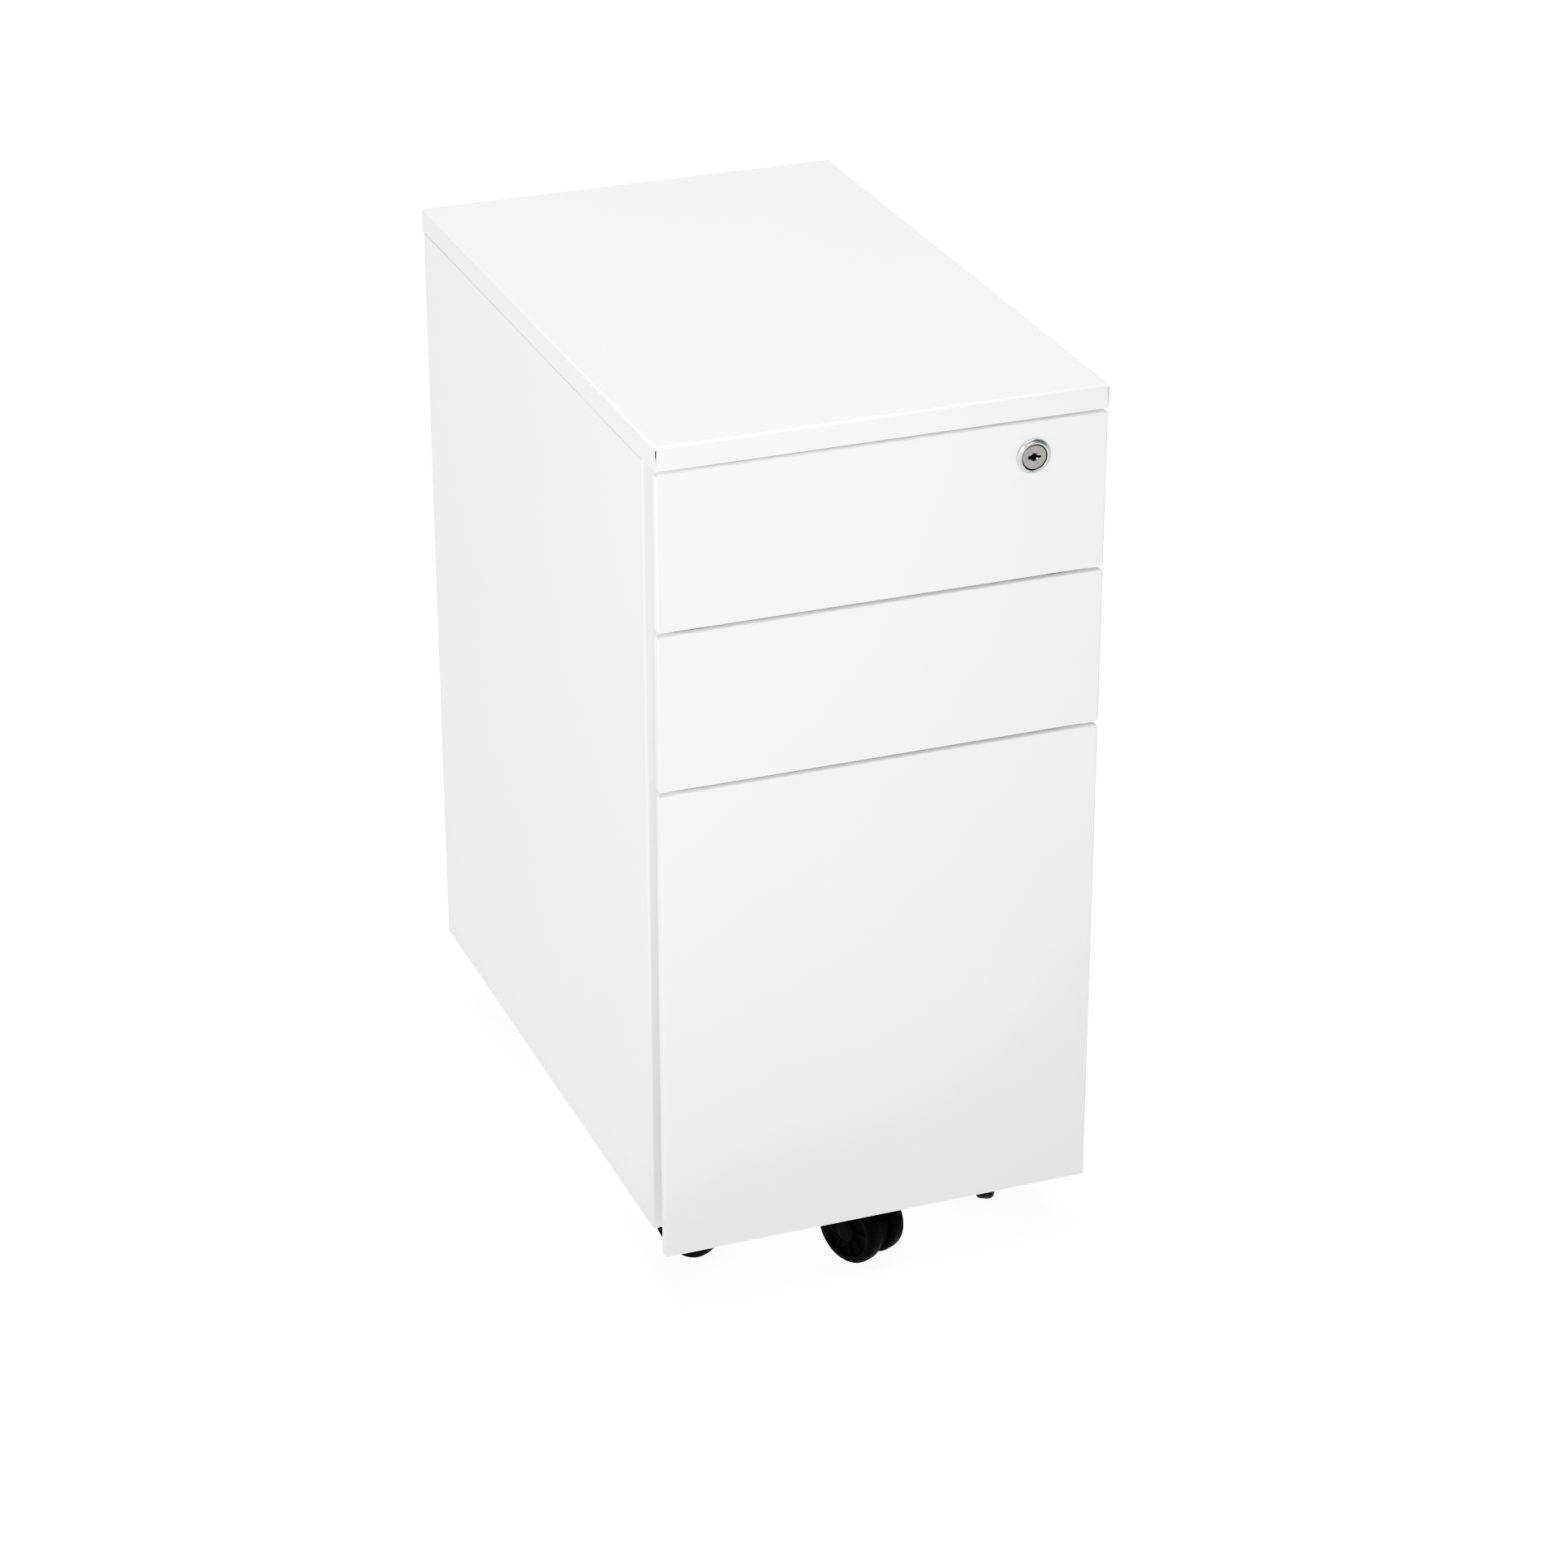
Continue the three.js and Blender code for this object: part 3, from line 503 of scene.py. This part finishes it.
def castor_housing():
    """The hood over both wheels, the web between them and the collar that turns on the kingpin."""
    start, stop = HOOD_ARC
    half, inside = 17.5, 26.5
    shoulder = [
        (half, inside + 0.5), (half, HOOD - 1.3), (half - 0.35, HOOD - 0.6), (half - 1.0, HOOD - 0.15),
        (half - 1.8, HOOD),
    ]
    section = [(-x, radius) for x, radius in shoulder] + [(x, radius) for x, radius in shoulder[::-1]]
    section += [
        (half - 0.4, inside + 0.1), (half - 1.0, inside), (1.0 - half, inside), (0.4 - half, inside + 0.1),
    ]
    hood = swept(section, start, stop, 40)
    web = arc((0, 0), inside + 1, start, stop, 30) + arc((0, 0), WEB_RADIUS, stop, start + 360, 40)
    web = prism(web, -WEB, WEB).at(ALONG_X)
    bore = lathe([(0, 30), (PIN_HOLE, 30), (PIN_HOLE, 60), (0, 60)], 32)
    collar = lathe([
        (0, 40.0), (9.4, 40.0), (10.2, 42.0), (10.2, 53.0), (10.4, 54.2), (11.0, 55.0), (11.0, 56.7),
        (10.7, COLLAR_TOP), (0, COLLAR_TOP),
    ], 48)
    room = lathe([(0, WEB), (inside, WEB), (inside, 30), (0, 30)], 72)
    sides = room.at(*WHEEL_PLACES)
    axle = lathe([(0, -9), (PIN_HOLE, -9), (PIN_HOLE, 9), (0, 9)], 24).at(AXLE @ ALONG_X)
    body = carve(carve(hood.at(AXLE), web.at(AXLE), "UNION"), collar, "UNION")
    return carve(carve(carve(body, sides), axle), bore)


def swept(section, start, stop, steps):
    """Sweeps a closed section of (x, radius) points about the X axis."""
    points = []
    for turn in range(steps + 1):
        angle = math.radians(start + (stop - start) * turn / steps)
        points += [(x, *polar(radius, angle)) for x, radius in section]
    count = len(section)
    faces = [
        (first + i, first + (i + 1) % count, first + count + (i + 1) % count, first + count + i)
        for first in range(0, steps * count, count)
        for i in range(count)
    ]
    return Shape(points, [*faces, range(count), range(steps * count, (steps + 1) * count)])


def castor_mount():
    """The square plate, with a pressed ring round the kingpin."""
    low, high = PLATE
    plate = prism(rounded(PLATE_SIDE, PLATE_SIDE, PLATE_CORNER), low, high)
    pin = lathe([(0, 36.6), (2.4, 36.6), (3.0, 37.2), (3.0, high - 1), (0, high - 1)], 32)
    return carve(plate, pin, "UNION")


def add_castors():
    housing = mesh_of("castor_housing", castor_housing(), "castor_housing")
    wheels = mesh_of("castor_wheels", castor_wheel().at(*WHEEL_PLACES), "castor_wheel")
    mount = mesh_of("castor_mount", castor_mount(), "zinc_steel")
    holes = [(x, y, PLATE[0]) for x in (-PLATE_HOLE, PLATE_HOLE) for y in (-PLATE_HOLE, PLATE_HOLE)]
    heads = SCREW.at(*(facing(hole, (0, 0, -1)) for hole in holes))
    screws = mesh_of("castor_screws", heads, "zinc_steel")
    for name in ("front_left", "front_right", "rear_left", "rear_right", "anti_tip"):
        swivel, roll = JOINTS[f"castor_{name}_swivel"], JOINTS[f"castor_{name}_roll"]
        origin = Vector(swivel["pos_m"]) - Vector((0, 0, COLLAR_TOP * MM))
        fixed = Matrix.Translation(origin)
        turned = fixed @ Matrix.Rotation(math.atan2(roll["axis"][1], roll["axis"][0]), 4, "Z")
        base = BODY_OF[f"castor_plate_{name}"]
        pair = (f"castor_wheel_{name}_a", f"castor_wheel_{name}_b")
        piece(f"castor_hood_{name}", housing, f"castor_{name}", turned,
              stands_for=(f"castor_housing_{name}",), edge=0.25)
        piece(f"castor_twin_wheels_{name}", wheels, f"wheels_{name}", turned,
              stands_for=pair)
        piece(f"castor_mount_{name}", mount, base, fixed,
              stands_for=(f"castor_plate_{name}",), edge=0.3)
        piece(f"castor_screws_{name}", screws, base, fixed)


# ---- lock -----------------------------------------------------------------------------------

# The lock is drawn looking along Z, with the drawer front's face at zero.
PLUG_FACE = 2.3


def lock_barrel():
    """Chromed barrel: a sloping flange, a raised polished rim, and a thread behind the front."""
    ring = [
        (11.3, 0.3), (11.5, 0.45), (11.5, 0.75), (11.4, 1.05), (11.1, 1.4), (10.7, 1.75), (10.3, 2.0),
        (10.12, 2.15), (10.05, 2.45), (9.95, 2.72), (9.7, 2.93), (9.35, 3.0), (9.0, 2.95), (8.72, 2.78),
        (8.55, 2.5), (8.5, 2.2), (8.5, -24.6), (8.9, -24.6),
    ]
    pitch, root, crest = 1.0, 9.0, 9.4
    thread = []
    level, thread_end = -24.2, -1.6
    while level < thread_end:
        thread += [(root, level), (crest, level + pitch * 0.4), (crest, level + pitch * 0.6)]
        level += pitch
    return lathe([*ring, *thread, (9.4, -1.2), (9.4, 0.3)], 96, ring=True)


def lock_plug():
    """The plug, with its keyway: a round pilot, countersunk, with a slot to each side."""
    plug = lathe([
        (0, -29.2), (2.5, -29.2), (2.9, -28.8), (2.9, -25.2), (8.1, -25.2), (8.1, PLUG_FACE - 0.35),
        (8.02, PLUG_FACE - 0.15), (7.85, PLUG_FACE - 0.03), (7.6, PLUG_FACE), (0, PLUG_FACE),
    ], 96)
    depth = PLUG_FACE - 5
    wide = prism([(-4.3, -1.15), (0, -1.15), (0, 1.15), (-4.3, 1.15)], depth, 4)
    narrow = prism([(0, -0.7), (4.2, -0.7), (4.2, 0.7), (0, 0.7)], depth, 4)
    pilot = lathe([
        (0, depth + 0.02), (1.9, depth + 0.02), (1.9, PLUG_FACE - 0.75), (2.75, PLUG_FACE), (3.9, 3.3),
        (0, 3.3),
    ], 48)
    return carve(carve(carve(plug, wide), narrow), pilot)


def hex_nut(across, bore, low, high):
    """A nut between two levels, with its corners chamfered. Its bore is a radius."""
    corner = across / math.sqrt(3)
    block = prism([polar(corner, math.tau * i / 6) for i in range(6)], low, high)
    flats = across / 2
    chamfer = lathe([
        (0, low - 1), (flats - 1, low - 0.2), (flats + 0.2, low), (corner + 1, low + 0.7),
        (corner + 1, high - 0.7), (flats + 0.2, high), (flats - 1, high + 0.2), (0, high + 1),
    ], 48)
    hole = lathe([(0, low - 2), (bore, low - 2), (bore, high + 2), (0, high + 2)], 48)
    return carve(carve(block, chamfer, "INTERSECT"), hole)


def add_lock():
    place = metres(Matrix.Translation(Vector(JOINTS["lock_turn"]["pos_m"]) / MM) @ ALONG_Y)
    piece("lock_ring_and_barrel", mesh_of("lock_ring_and_barrel", lock_barrel(), "lock_chrome"),
          "drawer_top", place, stands_for=("lock_barrel",))
    piece("lock_key_plug", mesh_of("lock_key_plug", lock_plug(), "lock_plug"),
          "lock_core", place, stands_for=("lock_plug",))
    nut = hex_nut(across=24, bore=9.5, low=-6.4, high=-1.4)
    piece("lock_nut", mesh_of("lock_nut", nut, "zinc_steel"), "drawer_top", place)
    washer = lathe([(3.1, -28.6), (5.0, -28.6), (5.2, -28.8), (5.2, -29.3), (3.1, -29.3)], 40, ring=True)
    screw = SCREW.at(facing((0, 0, -29.4), (0, 0, -1)))
    cam_screw = mesh_of("lock_cam_screw", washer + screw, "zinc_steel")
    piece("lock_cam_screw", cam_screw, "lock_core", place)


# ---- runners --------------------------------------------------------------------------------

BALL_PITCH = 12.0
CAGE_SHEET = 0.5

# Balls run in rows above and below: their X from the cabinet's middle plane, the rows' distance
# from the runner's level, the balls' radius and the X of the cage's back.
SHORT_ROWS = ((124.75, 14.15, 2.15, 128.25),)
LONG_ROWS = ((124.0, 19.9, 1.75, 128.4), (122.7, 14.65, 1.95, 125.6))

# The Y of the front and rear ends of a cage in the fixed member, and in the file drawer's middle one.
OUTER_REACH = (-185, 70)
INNER_REACH = (-192, 20)


def ball(radius, rings=8, steps=12):
    turns = [math.pi * i / rings for i in range(rings + 1)]
    inner = [(radius * math.sin(turn), -radius * math.cos(turn)) for turn in turns[1:-1]]
    return lathe([(0, -radius), *inner, (0, radius)], steps)


def ball_cage(side, level, row, reach):
    """Two rows of balls in the folded strip that holds them apart."""
    x, rise, radius, back = row
    front, rear = reach
    lip = x - radius - 0.2
    line = [(lip, level - rise), (back, level - rise), (back, level + rise), (lip, level + rise)]
    strip = ribbon([(side * u, v) for u, v in line], CAGE_SHEET)
    cage = prism(strip, -rear, -front).at(ALONG_Y)
    count = int((rear - front) // BALL_PITCH)
    start = (front + rear - (count - 1) * BALL_PITCH) / 2
    spots = [(side * x, start + i * BALL_PITCH, level + way * rise) for i in range(count) for way in (-1, 1)]
    return cage, ball(radius).at(*(Matrix.Translation(spot) for spot in spots))


def add_runners():
    for drawer in ("top", "middle", "file"):
        for hand, side in (("right", 1), ("left", -1)):
            low, high = span(f"runner_outer_{drawer}_{hand}")[2]
            level = (low + high) / 2
            rows = LONG_ROWS if drawer == "file" else SHORT_ROWS
            members = (("outer", "cabinet", OUTER_REACH), ("inner", "file_slides", INNER_REACH))
            for row, (member, body, reach) in zip(rows, members):
                cage, balls = ball_cage(side, level, row, reach)
                name = f"runner_cage_{drawer}_{hand}_{member}"
                piece(name, mesh_of(name, cage, "zinc_steel"), body)
                name = name.replace("cage", "balls")
                piece(name, mesh_of(name, balls, "lock_chrome", crease=80), body)


# ---- screws and rivets ----------------------------------------------------------------------

FRONT_SCREWS_X = (-96, -64, 64, 96)
FRONT_SCREWS_RISE = 12
RUNNER_SCREWS_Y = (-178, 0, 168)
RIVETS = 7
RIVET_INSET = 7
RIVETS_FROM_BASE = 14
RIVETS_FROM_TOP = 20
BRACKET_SCREWS_X = (-13, 13)
BRACKET_SCREWS_DROP = 12


def add_fasteners():
    for drawer in ("top", "middle", "file"):
        x, y, z = span(f"drawer_tray_{drawer}")
        inner_wall, inner_front = x[0] + SHEET, y[0] + SHEET
        spots = [((u, inner_front, z[0] + FRONT_SCREWS_RISE), (0, 1, 0)) for u in FRONT_SCREWS_X]
        low, high = span(f"runner_outer_{drawer}_right")[2]
        level = (low + high) / 2
        for u, way in ((inner_wall, 1), (-inner_wall, -1)):
            spots += [((u, v, level), (way, 0, 0)) for v in RUNNER_SCREWS_Y]
        fasten(f"drawer_screws_{drawer}", SCREW, f"drawer_{drawer}", spots)
    x, y, z = span("back_panel")
    run = z[1] - z[0] - (RIVETS_FROM_BASE + RIVETS_FROM_TOP)
    levels = [z[0] + RIVETS_FROM_BASE + run * i / (RIVETS - 1) for i in range(RIVETS)]
    edges = (x[0] + RIVET_INSET, x[1] - RIVET_INSET)
    rows = [((u, y[1], level), (0, 1, 0)) for u in edges for level in levels]
    fasten("back_rivets", RIVET, "cabinet", rows)
    x, y, z = span("anti_tip_bracket")
    middle = (x[0] + x[1]) / 2
    level = z[1] - BRACKET_SCREWS_DROP
    fasten("bracket_screws", SCREW, "drawer_file",
           [((middle + u, y[0], level), (0, -1, 0)) for u in BRACKET_SCREWS_X])


add_castors()
add_lock()
add_runners()
add_fasteners()


# ---- floor, light and camera ----------------------------------------------------------------

def stage_floor():
    """A pale floor that glows a little, as a light table does."""
    size = 60.0
    mesh = bpy.data.meshes.new("floor")
    corners = [(-size, -size, 0.0), (size, -size, 0.0), (size, size, 0.0), (-size, size, 0.0)]
    mesh.from_pydata(corners, [], [(0, 1, 2, 3)])
    floor = bpy.data.objects.new("floor", mesh)
    bpy.context.scene.collection.objects.link(floor)
    shader = Shader("floor_light_table", Roughness=0.9, Emission_Strength=0.8)
    shader.surface.inputs["Emission Color"].default_value = (1.0, 1.0, 1.0, 1.0)
    shader.colour(shader.spread(shader.noise(0.8, 2.0), grey(0.09), grey(0.1)))
    mesh.materials.append(shader.material)


def lamp(name, light, place, direction):
    """Puts a light in the scene. It shines along a direction."""
    thing = bpy.data.objects.new(name, light)
    thing.location = place
    thing.rotation_euler = Vector(direction).to_track_quat("-Z", "Y").to_euler()
    bpy.context.scene.collection.objects.link(thing)


def surround():
    """A dim surround that turns white in a thin band along the horizon."""
    world = bpy.data.worlds.new("studio")
    world.use_nodes = True
    tree = world.node_tree
    background = tree.nodes["Background"]
    background.inputs["Color"].default_value = (1.0, 1.0, 1.0, 1.0)
    direction = tree.nodes.new("ShaderNodeTexCoord")
    axes = tree.nodes.new("ShaderNodeSeparateXYZ")
    fade = tree.nodes.new("ShaderNodeMapRange")
    for name, value in (("From Min", 0.03), ("From Max", 0.09), ("To Min", 0.9), ("To Max", 0.03)):
        fade.inputs[name].default_value = value
    tree.links.new(direction.outputs["Generated"], axes.inputs["Vector"])
    tree.links.new(axes.outputs["Z"], fade.inputs["Value"])
    tree.links.new(fade.outputs["Result"], background.inputs["Strength"])
    bpy.context.scene.world = world


def studio():
    """A soft overhead key, and a wide beam from the left front that fades across the drawers."""
    surround()
    key = bpy.data.lights.new("key", "SUN")
    key.energy = 2.5
    key.angle = math.radians(30.0)
    lamp("key", key, (0, 0, 3), (0.065, 0.0, -1.0))
    beam = bpy.data.lights.new("beam", "SPOT")
    beam.energy = 42.0
    beam.spot_size = math.radians(46.0)
    beam.spot_blend = 1.0
    beam.shadow_soft_size = 0.15
    lamp("beam", beam, (-0.85, -1.4, 1.1), (0.63, 1.162, -0.5))


# Output level for each scene level: darks stay dark, and the whites crowd together softly.
TONE = (
    (0.0, 0.0), (0.03, 0.012), (0.1, 0.09), (0.2, 0.3), (0.4, 0.64), (0.53, 0.77), (0.565, 0.8),
    (0.595, 0.842), (0.64, 0.866), (0.69, 0.893), (0.72, 0.915), (0.76, 0.93), (0.8, 0.943),
    (0.84, 0.983), (0.87, 1.0), (1.0, 1.0),
)


def tone():
    """The high-key tone of a product photograph."""
    view = bpy.context.scene.view_settings
    view.view_transform = "Standard"
    view.use_curve_mapping = True
    view.curve_mapping.extend = "HORIZONTAL"
    combined = 3
    curve = view.curve_mapping.curves[combined]
    curve.points[0].location = TONE[0]
    curve.points[1].location = TONE[-1]
    for point in TONE[1:-1]:
        curve.points.new(*point)
    view.curve_mapping.update()


def camera():
    """A long lens that looks down from the left front."""
    data = bpy.data.cameras.new("camera")
    data.sensor_width = 36.0
    data.lens = 105.18
    data.shift_x = 0.0007
    data.shift_y = -0.0003
    eye = bpy.data.objects.new("camera", data)
    eye.location = (-0.9949, -2.6523, 1.6313)
    eye.rotation_euler = Vector((0.3227, 0.84, -0.4363)).to_track_quat("-Z", "Y").to_euler()
    bpy.context.scene.collection.objects.link(eye)
    bpy.context.scene.camera = eye


stage_floor()
studio()
tone()
camera()
